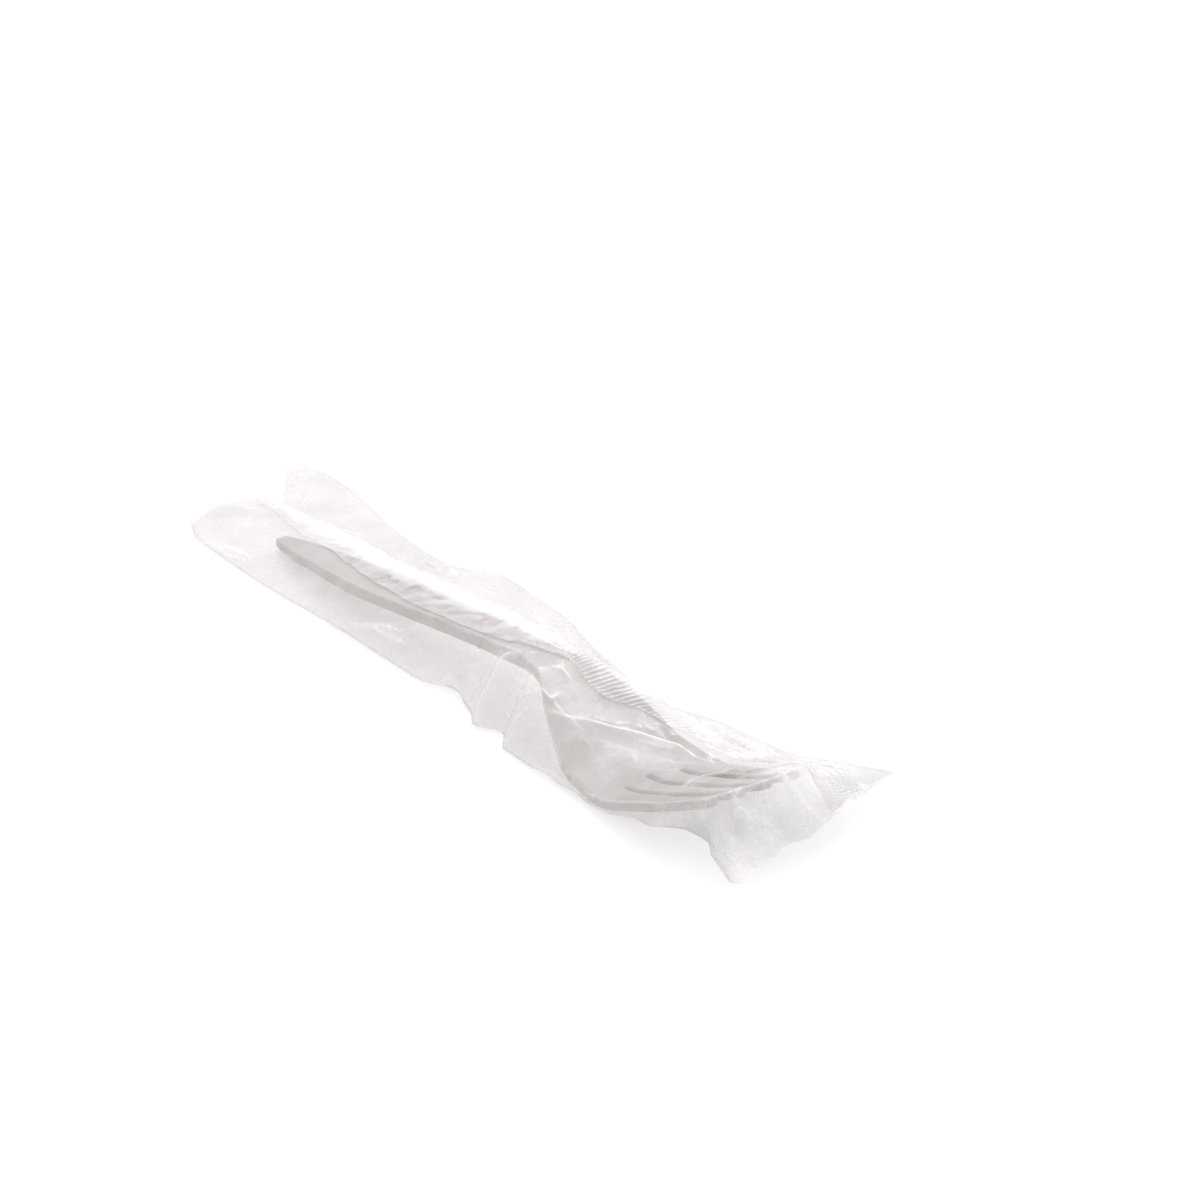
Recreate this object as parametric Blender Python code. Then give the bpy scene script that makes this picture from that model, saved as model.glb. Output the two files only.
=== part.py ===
"""Plastic cutlery pack: one moulded fork sealed in a clear film flow-wrap. Metres, +Z up.

X runs from the handle to the tines, and the pack lies on z = 0 with its box centred on the origin.
The fork's own numbers are measured from the tip of its handle, along x and up from its underside.
"""

import math

import bmesh
import bpy

# Where the tip of the fork's handle lies in the pack.
HANDLE_TIP = (-0.0703, -0.0090, 0.0008)

# Fork: one moulding.
FORK_LENGTH = 0.160
FORK_HALF_WIDTH = (
    (0.000, 0.0012), (0.003, 0.0020), (0.012, 0.0033), (0.040, 0.0051), (0.070, 0.0041),
    (0.094, 0.0037), (0.101, 0.0050), (0.108, 0.0084), (0.120, 0.0123), (0.132, 0.0133),
    (0.146, 0.0121), (0.160, 0.0104),
)
FORK_UNDERSIDE = (
    (0.000, 0.0000), (0.030, 0.0028), (0.060, 0.0062), (0.085, 0.0090), (0.100, 0.0100),
    (0.112, 0.0055), (0.122, 0.0006), (0.130, 0.0000), (0.145, 0.0043), (0.160, 0.0107),
)
FORK_THICKNESS = (
    (0.000, 0.0020), (0.040, 0.0027), (0.094, 0.0028), (0.120, 0.0021), (0.160, 0.0017),
)
RIM_RADIUS = 0.0004
DISH_DEPTH = 0.0006
DISH_SPAN = (0.098, 0.112, 0.126, 0.142)  # the recess deepens, stays, and runs out
DISH_FLAT, DISH_BANK = 0.35, 0.55  # its flat middle and its banks, as shares of the half width
TINES = 4
SLOT_ROOTS = (0.1304, 0.1287, 0.1304)
SLOT_ROOT_PITCH, SLOT_TIP_PITCH = 0.0062, 0.00575
SLOT_ROOT_WIDTH, SLOT_TIP_WIDTH = 0.0013, 0.0027
TINE_NOSE = 0.0006  # how far a tine's blunt end comes to a point
FORK_STEP_X, FORK_STEP_Y = 0.004, 0.0033
PLATE_THICKNESS = 0.001  # of the flat plate that the fork is bent from

# Film wrapper: one web of clear film. Its crumpled edges wander along the pack.
FILM_WALL = 0.0004
FILM_ENDS = (-0.1001, 0.0979)
SEAL_WIDTH = 0.0045
SEAL_THICKNESS = 0.0008
FILM_SKEW = -0.40  # the cut ends lean: x falls by this much for each metre across
SKEW_LENGTH = 0.060
FILM_NEAR_EDGE = (
    (-0.100, -0.0178), (-0.082, -0.0218), (-0.060, -0.0218), (-0.030, -0.0205),
    (-0.002, -0.0196), (0.007, -0.0176), (0.018, -0.0198), (0.034, -0.0228),
    (0.052, -0.0236), (0.066, -0.0235), (0.080, -0.0223), (0.098, -0.0228),
)
FILM_FAR_EDGE = (
    (-0.100, 0.0177), (-0.080, 0.0170), (-0.050, 0.0135), (-0.032, 0.0196), (-0.010, 0.0191),
    (0.015, 0.0142), (0.030, 0.0095), (0.045, 0.0160), (0.065, 0.0192), (0.078, 0.0227),
    (0.098, 0.0237),
)
FILM_FLOOR = ((-0.100, 0.0), (0.060, 0.0), (0.080, 0.0020), (0.098, 0.0048))
FILM_EDGE_THICKNESS = 0.0024
FILM_CLEARANCE = 0.0006
FILM_STEP_X = 0.0045
FINE_FROM = 0.076
SLOPE_FAR = 0.0130
HANDLE_RISE, TINES_FALL = 0.016, 0.0095  # where the film comes down past each end of the fork
LOW_CORNER = 0.0006
EDGE_ROUND = 0.0024
FIN_WIDTH, FIN_THICKNESS = 0.0090, 0.0006
FIN_ROOT = (
    (-0.100, 0.0040), (-0.080, 0.0015), (-0.050, -0.0080), (-0.020, -0.0095), (0.010, -0.0045),
    (0.030, -0.0050), (0.050, -0.0015), (0.075, 0.0045), (0.098, 0.0035),
)
VENT = (0.0124, -0.0152, 0.0100)
VENT_RADIUS, VENT_REACH = 0.0006, 0.0120


def curve_through(points, x):
    """Smooth curve through (x, value) points that never overshoots them."""
    if x <= points[0][0]:
        return points[0][1]
    if x >= points[-1][0]:
        return points[-1][1]
    slopes = [
        (b[1] - a[1]) / (b[0] - a[0]) for a, b in zip(points, points[1:])
    ]
    at = max(i for i, point in enumerate(points) if point[0] <= x)
    (x0, v0), (x1, v1) = points[at], points[at + 1]

    def tangent(i):
        if i in (0, len(points) - 1):
            return slopes[min(i, len(slopes) - 1)]
        before, after = slopes[i - 1], slopes[i]
        return 0 if before * after <= 0 else 2 * before * after / (before + after)

    span = x1 - x0
    t = (x - x0) / span
    return (
        v0 * (1 + 2 * t) * (1 - t) ** 2
        + tangent(at) * span * t * (1 - t) ** 2
        + v1 * t * t * (3 - 2 * t)
        - tangent(at + 1) * span * t * t * (1 - t)
    )


def smooth(t):
    t = min(max(t, 0.0), 1.0)
    return t * t * (3 - 2 * t)


def clear_scene():
    for obj in list(bpy.data.objects):
        bpy.data.objects.remove(obj, do_unlink=True)


def new_collection(name):
    collection = bpy.data.collections.new(name)
    bpy.context.scene.collection.children.link(collection)
    return collection


def principled(name, colour, roughness, alpha=1.0):
    material = bpy.data.materials.new(name)
    material.use_nodes = True
    shader = material.node_tree.nodes["Principled BSDF"]
    shader.inputs["Base Color"].default_value = (*colour, 1.0)
    shader.inputs["Roughness"].default_value = roughness
    shader.inputs["Metallic"].default_value = 0.0
    shader.inputs["Alpha"].default_value = alpha
    return material


def add_object(name, mesh, collection, material=None):
    obj = bpy.data.objects.new(name, mesh)
    collection.objects.link(obj)
    if material:
        mesh.materials.append(material)
    return obj


# ---- fork ----

def slot_line(slot):
    """Centre y of a slot at its root and at the tips, and the x of its root."""
    offset = slot - (TINES - 2) / 2
    return offset * SLOT_ROOT_PITCH, offset * SLOT_TIP_PITCH, SLOT_ROOTS[slot]


def slot_outline(slot):
    """Points of one slot, in from the tips on its low side, round its root and out again."""
    root_y, tip_y, root_x = slot_line(slot)
    points = [(FORK_LENGTH - TINE_NOSE, tip_y - SLOT_TIP_WIDTH / 2)]
    for step in range(7):
        turn = -math.pi / 2 - math.pi * step / 6
        x = root_x + SLOT_ROOT_WIDTH / 2 * (1 + math.cos(turn))
        points.append((x, root_y + SLOT_ROOT_WIDTH / 2 * math.sin(turn)))
    points.append((FORK_LENGTH - TINE_NOSE, tip_y + SLOT_TIP_WIDTH / 2))
    return points


def fork_outline():
    """The fork seen from above, anticlockwise from the handle's tip."""
    low_side = [
        (x, -curve_through(FORK_HALF_WIDTH, x))
        for x in (FORK_LENGTH * step / 60 for step in range(60))
    ]
    low_side.append((FORK_LENGTH - TINE_NOSE, -curve_through(FORK_HALF_WIDTH, FORK_LENGTH)))
    outline = list(low_side)
    for slot in range(TINES - 1):
        low = outline[-1]
        points = slot_outline(slot)
        outline.append((FORK_LENGTH, (low[1] + points[0][1]) / 2))
        outline += points
    outline.append((FORK_LENGTH, (outline[-1][1] - low_side[-1][1]) / 2))
    outline += [(x, -y) for x, y in reversed(low_side)]
    return outline


def flat_fork_mesh():
    """A flat plate of the fork's outline with a rounded rim, centred on z = 0."""
    curve = bpy.data.curves.new("fork_outline", "CURVE")
    curve.dimensions = "2D"
    curve.fill_mode = "BOTH"
    curve.extrude = (PLATE_THICKNESS - RIM_RADIUS) / 2
    curve.bevel_depth = RIM_RADIUS / 2
    curve.offset = -RIM_RADIUS / 2
    curve.bevel_resolution = 1
    outline = fork_outline()
    spline = curve.splines.new("POLY")
    spline.points.add(len(outline) - 1)
    for point, (x, y) in zip(spline.points, outline):
        point.co = (x, y, 0, 1)
    spline.use_cyclic_u = True
    guide = bpy.data.objects.new("fork_outline", curve)
    bpy.context.scene.collection.objects.link(guide)
    graph = bpy.context.evaluated_depsgraph_get()
    mesh = bpy.data.meshes.new_from_object(guide.evaluated_get(graph))
    bpy.data.objects.remove(guide, do_unlink=True)
    return mesh


def slice_plate(plate):
    """Cuts the plate across and along, so that it can bend smoothly."""
    def cut(point, normal):
        bmesh.ops.bisect_plane(
            plate,
            geom=plate.verts[:] + plate.edges[:] + plate.faces[:],
            plane_co=point,
            plane_no=normal,
            dist=1e-6,
        )

    bmesh.ops.remove_doubles(plate, verts=plate.verts, dist=2e-6)
    bmesh.ops.dissolve_limit(
        plate, angle_limit=math.radians(1), verts=plate.verts, edges=plate.edges
    )
    for step in range(1, round(FORK_LENGTH / FORK_STEP_X)):
        cut((step * FORK_STEP_X, 0, 0), (1, 0, 0))
    for step in range(-3, 4):
        cut((0, step * FORK_STEP_Y, 0), (0, 1, 0))


def dish(x, y):
    """How far the recess between the neck and the tines sinks into the top face."""
    start, full, ease, end = DISH_SPAN
    along = smooth((x - start) / (full - start)) * smooth((end - x) / (end - ease))
    across = 1 - smooth((abs(y) / curve_through(FORK_HALF_WIDTH, x) - DISH_FLAT) / DISH_BANK)
    return DISH_DEPTH * along * across


def fork_height(x, y, share):
    """Height at a share of the thickness, 0 on the underside and 1 on the top face."""
    thickness = curve_through(FORK_THICKNESS, x) - dish(x, y)
    return curve_through(FORK_UNDERSIDE, x) + share * thickness


def make_fork(collection):
    mesh = flat_fork_mesh()
    plate = bmesh.new()
    plate.from_mesh(mesh)
    slice_plate(plate)
    for vert in plate.verts:
        share = vert.co.z / PLATE_THICKNESS + 0.5
        vert.co.z = fork_height(vert.co.x, vert.co.y, share)
    bmesh.ops.triangulate(plate, faces=plate.faces)
    bmesh.ops.recalc_face_normals(plate, faces=plate.faces)
    plate.to_mesh(mesh)
    plate.free()
    mesh.shade_smooth()
    mesh.set_sharp_from_angle(angle=math.radians(50))
    material = principled("off_white_plastic", (0.76, 0.73, 0.72), 0.42)
    fork = add_object("fork", mesh, collection, material)
    fork.location = HANDLE_TIP
    return fork


# ---- film wrapper ----

def film_hump(x, inset=0.0):
    """How far the film is lifted (0 to 1), its top, and half its width, where it passes over the fork."""
    from_tip = x - HANDLE_TIP[0]
    along = min(max(from_tip, 0.0), FORK_LENGTH)
    top = HANDLE_TIP[2] + fork_height(along, 1.0, 1.0) + FILM_CLEARANCE + FILM_WALL
    half = curve_through(FORK_HALF_WIDTH, along) + FILM_CLEARANCE + FILM_WALL
    share = smooth((from_tip + HANDLE_RISE - 3 * inset) / (HANDLE_RISE - 0.002))
    share *= smooth((FORK_LENGTH + TINES_FALL - 3 * inset - from_tip) / (TINES_FALL - 0.002))
    return share, top, half


def film_ring(x, inset):
    """One section of the wrapper: along its underside, up its far edge, back over the top and down.

    With inset it is the wall's inner face, which the hollow is cut to.
    """
    near = curve_through(FILM_NEAR_EDGE, x)
    far = curve_through(FILM_FAR_EDGE, x)
    base = curve_through(FILM_FLOOR, x)
    middle = (near + far) / 2
    from_end = min(x - FILM_ENDS[0], FILM_ENDS[1] - x)
    open_share = smooth((from_end - SEAL_WIDTH / 2) / SEAL_WIDTH)
    edge = SEAL_THICKNESS + (FILM_EDGE_THICKNESS - SEAL_THICKNESS) * open_share
    skew = FILM_SKEW * (1 - min(from_end / SKEW_LENGTH, 1.0)) ** 0.5

    def along(y):
        return x + skew * (y - middle)

    def roof(y):
        share, top, half = film_hump(along(y), inset)
        fall = smooth(1 - (y - HANDLE_TIP[1] - half) / SLOPE_FAR)
        return base + edge + max(top - base - edge, 0.0) * share * fall

    shoulder = HANDLE_TIP[1] - film_hump(along(near))[2]
    near = min(near, shoulder)
    fin = curve_through(FIN_ROOT, x)
    fin_end = fin + FIN_WIDTH
    proud = 0.0 if inset else FIN_THICKNESS
    corner = min(LOW_CORNER, edge / 2)
    start, end = near + corner + 2 * inset, far - EDGE_ROUND
    points = [(start + (end - start) * i / 7, base + inset) for i in range(8)]
    points.append((far - 2 * inset, base + edge / 2))
    for i in range(5):
        y = end + (fin_end - end) * i / 4
        points.append((y, roof(y) - inset))
    for i in range(4):
        y = fin_end + (fin - fin_end) * i / 3
        points.append((y, roof(y) + proud - inset))
    top_start = shoulder + inset
    for i in range(5):
        y = fin + (top_start - fin) * i / 4
        points.append((y, roof(y) - inset))
    rise = roof(top_start) - base - corner
    points.append(((shoulder + near) / 2 + 1.2 * inset, base + corner + 0.55 * rise - 0.6 * inset))
    points.append((near + 1.5 * inset, base + corner))
    return [(along(y), y, z) for y, z in points]


def loft(name, rings):
    """A closed mesh through rings of equal length, with a flat cap at each end."""
    mesh = bpy.data.meshes.new(name)
    body = bmesh.new()
    rows = [[body.verts.new(point) for point in ring] for ring in rings]
    count = len(rows[0])
    for row, following in zip(rows, rows[1:]):
        for i in range(count):
            j = (i + 1) % count
            body.faces.new((row[i], row[j], following[j], following[i]))
    body.faces.new(rows[0])
    body.faces.new(rows[-1])
    bmesh.ops.recalc_face_normals(body, faces=body.faces)
    body.to_mesh(mesh)
    body.free()
    return mesh


def stations():
    """Where the film's sections stand: at its ends, at each seal's inner edge, and closer by the tines."""
    places = [FILM_ENDS[0]]
    for start, end, step in (
        (FILM_ENDS[0] + SEAL_WIDTH, FINE_FROM, FILM_STEP_X),
        (FINE_FROM, FILM_ENDS[1] - SEAL_WIDTH, FILM_STEP_X / 3),
    ):
        count = round((end - start) / step)
        places += [start + (end - start) * i / count for i in range(count)]
    return [*places, FILM_ENDS[1] - SEAL_WIDTH, FILM_ENDS[1]]


def make_film(collection, cutters):
    material = principled("clear_film", (0.93, 0.91, 0.91), 0.25, alpha=0.35)
    outside = [film_ring(x, 0.0) for x in stations()]
    film = add_object("film_wrapper", loft("film_wrapper", outside), collection, material)
    inside = [film_ring(x, FILM_WALL) for x in stations()[1:-1]]
    hollow = add_object("film_hollow", loft("film_hollow", inside), cutters)
    bpy.ops.mesh.primitive_cylinder_add(
        vertices=10, radius=VENT_RADIUS, depth=VENT_REACH, location=VENT
    )
    vent = bpy.context.object
    vent.name = "film_vent"
    for owner in list(vent.users_collection):
        owner.objects.unlink(vent)
    cutters.objects.link(vent)
    for cutter in (hollow, vent):
        cutter.hide_render = True
        cutter.display_type = "WIRE"
        cut = film.modifiers.new(cutter.name, "BOOLEAN")
        cut.operation = "DIFFERENCE"
        cut.solver = "EXACT"
        cut.object = cutter
    return film


def main():
    clear_scene()
    pack = new_collection("plastic_cutlery_pack")
    cutters = new_collection("cutters")
    make_fork(pack)
    make_film(pack, cutters)


main()
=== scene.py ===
"""Plastic cutlery pack, looks: the moulded fork and the crinkled clear film round it.

Metres, in the frame's own axes: X runs from handle to tines and the pack lies on z = 0.
"""

import math

import bmesh
import bpy
import numpy as np
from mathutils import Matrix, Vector


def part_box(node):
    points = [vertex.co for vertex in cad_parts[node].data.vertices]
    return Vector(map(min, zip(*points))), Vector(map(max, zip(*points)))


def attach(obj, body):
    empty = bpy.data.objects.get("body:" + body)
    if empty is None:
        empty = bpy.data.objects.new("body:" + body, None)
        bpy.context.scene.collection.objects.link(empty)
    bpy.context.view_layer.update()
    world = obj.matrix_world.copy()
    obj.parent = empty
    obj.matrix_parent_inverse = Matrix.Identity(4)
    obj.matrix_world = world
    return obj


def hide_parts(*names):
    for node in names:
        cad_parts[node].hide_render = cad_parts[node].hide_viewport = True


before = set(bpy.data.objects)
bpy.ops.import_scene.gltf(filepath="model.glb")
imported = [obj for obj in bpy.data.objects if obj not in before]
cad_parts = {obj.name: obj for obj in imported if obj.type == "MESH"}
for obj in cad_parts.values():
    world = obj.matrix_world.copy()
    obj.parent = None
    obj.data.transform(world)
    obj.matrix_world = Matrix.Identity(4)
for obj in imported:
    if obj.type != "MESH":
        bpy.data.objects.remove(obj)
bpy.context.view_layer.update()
FORK_LOW, FORK_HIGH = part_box("fork")
RNG = np.random.default_rng(7)

# ---- fork sizes, from the tip of its handle ----
FORK_TIP = (FORK_LOW[0], (FORK_LOW[1] + FORK_HIGH[1]) / 2, FORK_LOW[2])
FORK_LENGTH = FORK_HIGH[0] - FORK_LOW[0]
FORK_HALF_WIDTH = (
    (0.000, 0.0012), (0.003, 0.0020), (0.012, 0.0033), (0.040, 0.0051), (0.070, 0.0041),
    (0.094, 0.0037), (0.101, 0.0050), (0.108, 0.0084), (0.120, 0.0123), (0.132, 0.0133),
    (0.146, 0.0121), (0.160, 0.0104),
)
FORK_UNDERSIDE = (
    (0.000, 0.0000), (0.030, 0.0028), (0.060, 0.0062), (0.085, 0.0090), (0.100, 0.0100),
    (0.112, 0.0055), (0.122, 0.0006), (0.130, 0.0000), (0.145, 0.0043), (0.160, 0.0107),
)
FORK_THICKNESS = (
    (0.000, 0.0020), (0.040, 0.0027), (0.094, 0.0028), (0.120, 0.0021), (0.160, 0.0017),
)
RIM_RADIUS = 0.0006
RIM_STEPS = 3
PLATE_THICKNESS = 0.001  # of the flat plate that the fork is bent from
PLATE_CUTS = (0.0016, 0.0011)  # spacing of the cuts along and across it
DISH_DEPTH = 0.0006
DISH_SPAN = (0.098, 0.112, 0.126, 0.142)  # the recess deepens, stays, and runs out
DISH_FLAT, DISH_BANK = 0.35, 0.55  # its flat middle and its banks, as shares of the half width
TINES = 4
SLOT_ROOTS = (0.1304, 0.1287, 0.1304)
SLOT_ROOT_PITCH, SLOT_TIP_PITCH = 0.0062, 0.00575
SLOT_ROOT_WIDTH, SLOT_TIP_WIDTH = 0.0013, 0.0027
TINE_ROUND = 0.0006
OUTLINE_STEPS, SLOT_STEPS, TINE_STEPS = 160, 14, 8

# ---- film sizes: edges are (x, y), lifts are (x, height) and ends are (share across, x) ----
COARSE_CELLS, COARSE_ROUNDS = (264, 56), 2500
TOP_CELLS, TOP_ROUNDS = (600, 120), 80
UNDER_CELLS_ACROSS = 24
FILM_GAP = 0.0003  # between the film and the fork
FILM_REST = 0.0004  # height of the tube's edges over the surface it lies on
TUBE_DEPTH, TUBE_RISE, LEAST_RISE = 0.00025, 0.0003, 0.00015  # its web below and above that height
FALL_SLOPE = 2.2  # how steeply the film falls beside the fork
FORK_MARGIN = 0.001
SEAL_WIDTH, SEAL_FADE = 0.008, 0.0015
SEAL_PITCH, SEAL_RIDGE, SEAL_HAZE = 0.0011, 0.00003, 0.05
UNDER_SEAL_SHARE = 0.3  # how much of the ridges show underneath
NEAR_EDGE = (
    (-0.108, -0.0180), (-0.092, -0.0185), (-0.082, -0.0215), (-0.060, -0.0220),
    (-0.030, -0.0205), (-0.002, -0.0200), (0.006, -0.0175), (0.016, -0.0195),
    (0.0215, -0.0220), (0.0265, -0.0195), (0.033, -0.0230), (0.054, -0.0230),
    (0.0685, -0.0240), (0.0785, -0.0240), (0.0835, -0.0205), (0.0875, -0.0200),
    (0.0945, -0.0210), (0.102, -0.0225),
)
FAR_EDGE = (
    (-0.108, 0.0165), (-0.092, 0.0185), (-0.080, 0.0170), (-0.060, 0.0140), (-0.048, 0.0135),
    (-0.040, 0.0150), (-0.033, 0.0200), (-0.010, 0.0190), (0.006, 0.0155), (0.021, 0.0130),
    (0.030, 0.0090), (0.038, 0.0130), (0.045, 0.0160), (0.065, 0.0190), (0.078, 0.0225),
    (0.108, 0.0235),
)
LEFT_END = (
    (0.00, -0.0905), (0.04, -0.0925), (0.13, -0.0945), (0.25, -0.0970), (0.33, -0.0975),
    (0.43, -0.0965), (0.57, -0.0955), (0.58, -0.0890), (0.60, -0.0905), (0.65, -0.0945),
    (0.72, -0.0975), (0.82, -0.1025), (0.92, -0.1070), (1.00, -0.1050),
)
RIGHT_END = (
    (0.00, 0.1010), (0.05, 0.1020), (0.105, 0.0995), (0.14, 0.1010), (0.19, 0.0995),
    (0.235, 0.0995), (0.305, 0.0975), (0.41, 0.0985), (0.57, 0.0955), (0.75, 0.0925),
    (0.88, 0.0905), (1.00, 0.0885),
)
LEFT_MIDDLE, RIGHT_MIDDLE = -0.0975, 0.0975
END_REACH = 0.17  # share of the film's length that leans with its cut end
SHARE_ROUNDS = 20
FAR_LIFT = ((-0.108, 0.0), (0.060, 0.0), (0.078, 0.0026), (0.089, 0.0054), (0.100, 0.0072))
NEAR_LIFT = (
    (-0.108, 0.0), (0.052, 0.0), (0.066, 0.0016), (0.078, 0.0045), (0.090, 0.0044),
    (0.102, 0.0024),
)

# ---- fin seal, a strip folded flat to the far side: (x, y) of its root and of its free edge ----
FIN_CELLS = (1400, 22)
FIN_NEAR = (
    (-0.0925, -0.0030), (-0.0840, -0.0020), (-0.0785, -0.0030), (-0.0665, -0.0060),
    (-0.0590, -0.0065), (-0.0485, -0.0080), (-0.0325, -0.0110), (-0.0145, -0.0125),
    (0.0000, -0.0130), (0.0120, -0.0125), (0.0200, -0.0100), (0.0260, -0.0085),
    (0.0315, -0.0075), (0.0365, -0.0075), (0.0410, -0.0065), (0.0455, -0.0020),
    (0.0510, 0.0005), (0.0550, 0.0030), (0.0600, 0.0050), (0.0640, 0.0060), (0.0700, 0.0060),
    (0.0750, 0.0055), (0.0810, 0.0050), (0.0875, 0.0040), (0.0960, 0.0035),
)
FIN_FAR = (
    (-0.0925, 0.0000), (-0.0855, 0.0015), (-0.0725, 0.0020), (-0.0605, 0.0030),
    (-0.0530, 0.0020), (-0.0435, 0.0010), (-0.0325, 0.0005), (-0.0145, 0.0005),
    (0.0025, 0.0025), (0.0155, 0.0020), (0.0230, 0.0010), (0.0305, 0.0000), (0.0365, 0.0010),
    (0.0415, 0.0030), (0.0455, 0.0055), (0.0510, 0.0080), (0.0560, 0.0105), (0.0600, 0.0115),
    (0.0640, 0.0125), (0.0750, 0.0130), (0.0860, 0.0145), (0.0960, 0.0130),
)
FIN_RIDGE_PITCH, FIN_RIDGE_DEPTH, RIDGE_HAZE = 0.0009, 0.00013, 0.28
FIN_RIDGE_RISE, FIN_RIDGE_FALL = 0.05, (0.45, 0.3)  # shares of the strip's width
FIN_RIDGES = (
    (-0.093, 0.00001), (0.012, 0.00002), (0.024, 0.00010), (0.042, 0.00010), (0.050, 0.00008),
    (0.062, 0.00007), (0.072, 0.00002), (0.096, 0.00001),
)
FIN_HAZE = (
    (-0.093, 0.30), (-0.075, 0.50), (0.010, 0.50), (0.020, 0.35), (0.036, 0.30), (0.045, 0.22),
    (0.066, 0.20), (0.072, 0.20), (0.077, 0.12), (0.096, 0.12),
)
FIN_OCTAVES = ((0.0050, 0.00025), (0.0022, 0.00012))
FIN_WAVES, FIN_WAVE_SIZE = (0.0043, 0.0071, 0.0113), 0.00010
FIN_ROOT_WANDER, FIN_EDGE_WANDER = (0.004, 0.0003), (0.006, 0.0002)
FIN_SOFTENING = 5
FIN_ROOT_HAZE = 0.25
FIN_GAP, FIN_EDGE_LIFT = 0.0002, 0.0003  # over the tube, and the free edge's own lift
FIN_LEAN = 0.0015  # how far the free edge is drawn towards the handle past the neck
FIN_LEAN_FROM, FIN_LEAN_OVER = 0.020, 0.010
FIN_CREASED_FROM, FIN_CREASED_OVER, FIN_LEAST_CREASED = 0.020, 0.020, 0.3
FIN_GAP_PITCH = 0.0026  # size of the clearer gaps near its root
KNURL_SPAN, KNURL_EASE = (0.077, 0.094), 0.002
KNURL_PITCH, KNURL_HEIGHT, KNURL_HAZE = 0.0013, 0.00014, 0.5

# ---- creases: the points along each one, its height and the width of its crest ----
CREASES = (
    (((0.0380, -0.0205), (0.0420, -0.0160), (0.0450, -0.0130), (0.0490, -0.0105),
      (0.0530, -0.0070), (0.0595, -0.0030), (0.0660, -0.0030), (0.0765, 0.0030)), 0.0013, 0.0009),
    (((0.0855, -0.0015), (0.0915, -0.0030), (0.0950, -0.0010), (0.0970, 0.0025)), 0.0010, 0.0006),
    (((0.0755, -0.0175), (0.0770, -0.0150), (0.0750, -0.0115), (0.0770, -0.0065),
      (0.0770, -0.0010), (0.0770, 0.0050)), 0.0009, 0.0007),
    (((0.0615, 0.0010), (0.0690, -0.0010), (0.0735, 0.0040)), -0.0012, 0.0010),
    (((0.0755, 0.0065), (0.0810, 0.0050), (0.0875, 0.0040), (0.0920, 0.0035),
      (0.0965, 0.0035)), 0.0016, 0.0007),
    (((0.0755, 0.0065), (0.0755, 0.0095), (0.0780, 0.0110), (0.0825, 0.0135),
      (0.0860, 0.0160)), 0.0014, 0.0008),
    (((0.0870, -0.0020), (0.0895, -0.0005), (0.0905, 0.0015), (0.0930, 0.0015)), 0.0007, 0.0005),
    (((0.0775, -0.0035), (0.0805, -0.0035)), 0.0005, 0.0006),
    (((0.0825, -0.0020), (0.0860, -0.0015)), 0.0006, 0.0005),
    (((0.0850, -0.0040), (0.0880, -0.0030)), 0.0006, 0.0005),
    (((0.0890, 0.0020), (0.0930, 0.0035)), 0.0005, 0.0005),
    (((0.0885, -0.0100), (0.0915, -0.0150)), -0.0007, 0.0007),
    (((0.0930, -0.0165), (0.0925, -0.0130), (0.0950, -0.0115)), 0.0006, 0.0006),
    (((0.0300, -0.0120), (0.0325, -0.0100), (0.0365, -0.0100)), 0.0008, 0.0006),
    (((0.0345, -0.0165), (0.0380, -0.0160), (0.0370, -0.0130)), 0.0008, 0.0006),
    (((0.0235, -0.0155), (0.0275, -0.0150), (0.0320, -0.0160), (0.0365, -0.0170)), 0.0010, 0.0008),
    (((0.0190, -0.0165), (0.0220, -0.0135)), 0.0006, 0.0005),
    (((-0.0325, -0.0205), (-0.0220, -0.0185), (-0.0115, -0.0180), (-0.0030, -0.0175)), 0.0004, 0.0006),
    (((-0.0250, -0.0190), (-0.0085, -0.0160)), 0.0004, 0.0006),
    (((-0.0810, -0.0195), (-0.0735, -0.0205), (-0.0640, -0.0195)), -0.0006, 0.0008),
    (((-0.0780, -0.0185), (-0.0715, -0.0185), (-0.0660, -0.0180)), 0.0009, 0.0008),
    (((-0.0700, 0.0020), (-0.0590, 0.0065)), 0.0006, 0.0007),
    (((-0.0525, 0.0030), (-0.0560, 0.0105)), 0.0006, 0.0006),
    (((-0.0970, -0.0070), (-0.0880, -0.0030), (-0.0830, -0.0020)), -0.0010, 0.0008),
    (((0.0080, 0.0060), (0.0170, 0.0105), (0.0240, 0.0110)), 0.0009, 0.0008),
    (((-0.0120, 0.0130), (0.0010, 0.0070), (0.0130, 0.0075)), 0.0009, 0.0009),
    (((-0.0060, 0.0175), (0.0040, 0.0110), (0.0160, 0.0050)), -0.0008, 0.0008),
    (((0.0460, 0.0110), (0.0560, 0.0090), (0.0680, 0.0100)), 0.0010, 0.0010),
    (((0.0420, 0.0040), (0.0500, 0.0060), (0.0590, 0.0040), (0.0700, 0.0070)), -0.0008, 0.0008),
)
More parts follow.
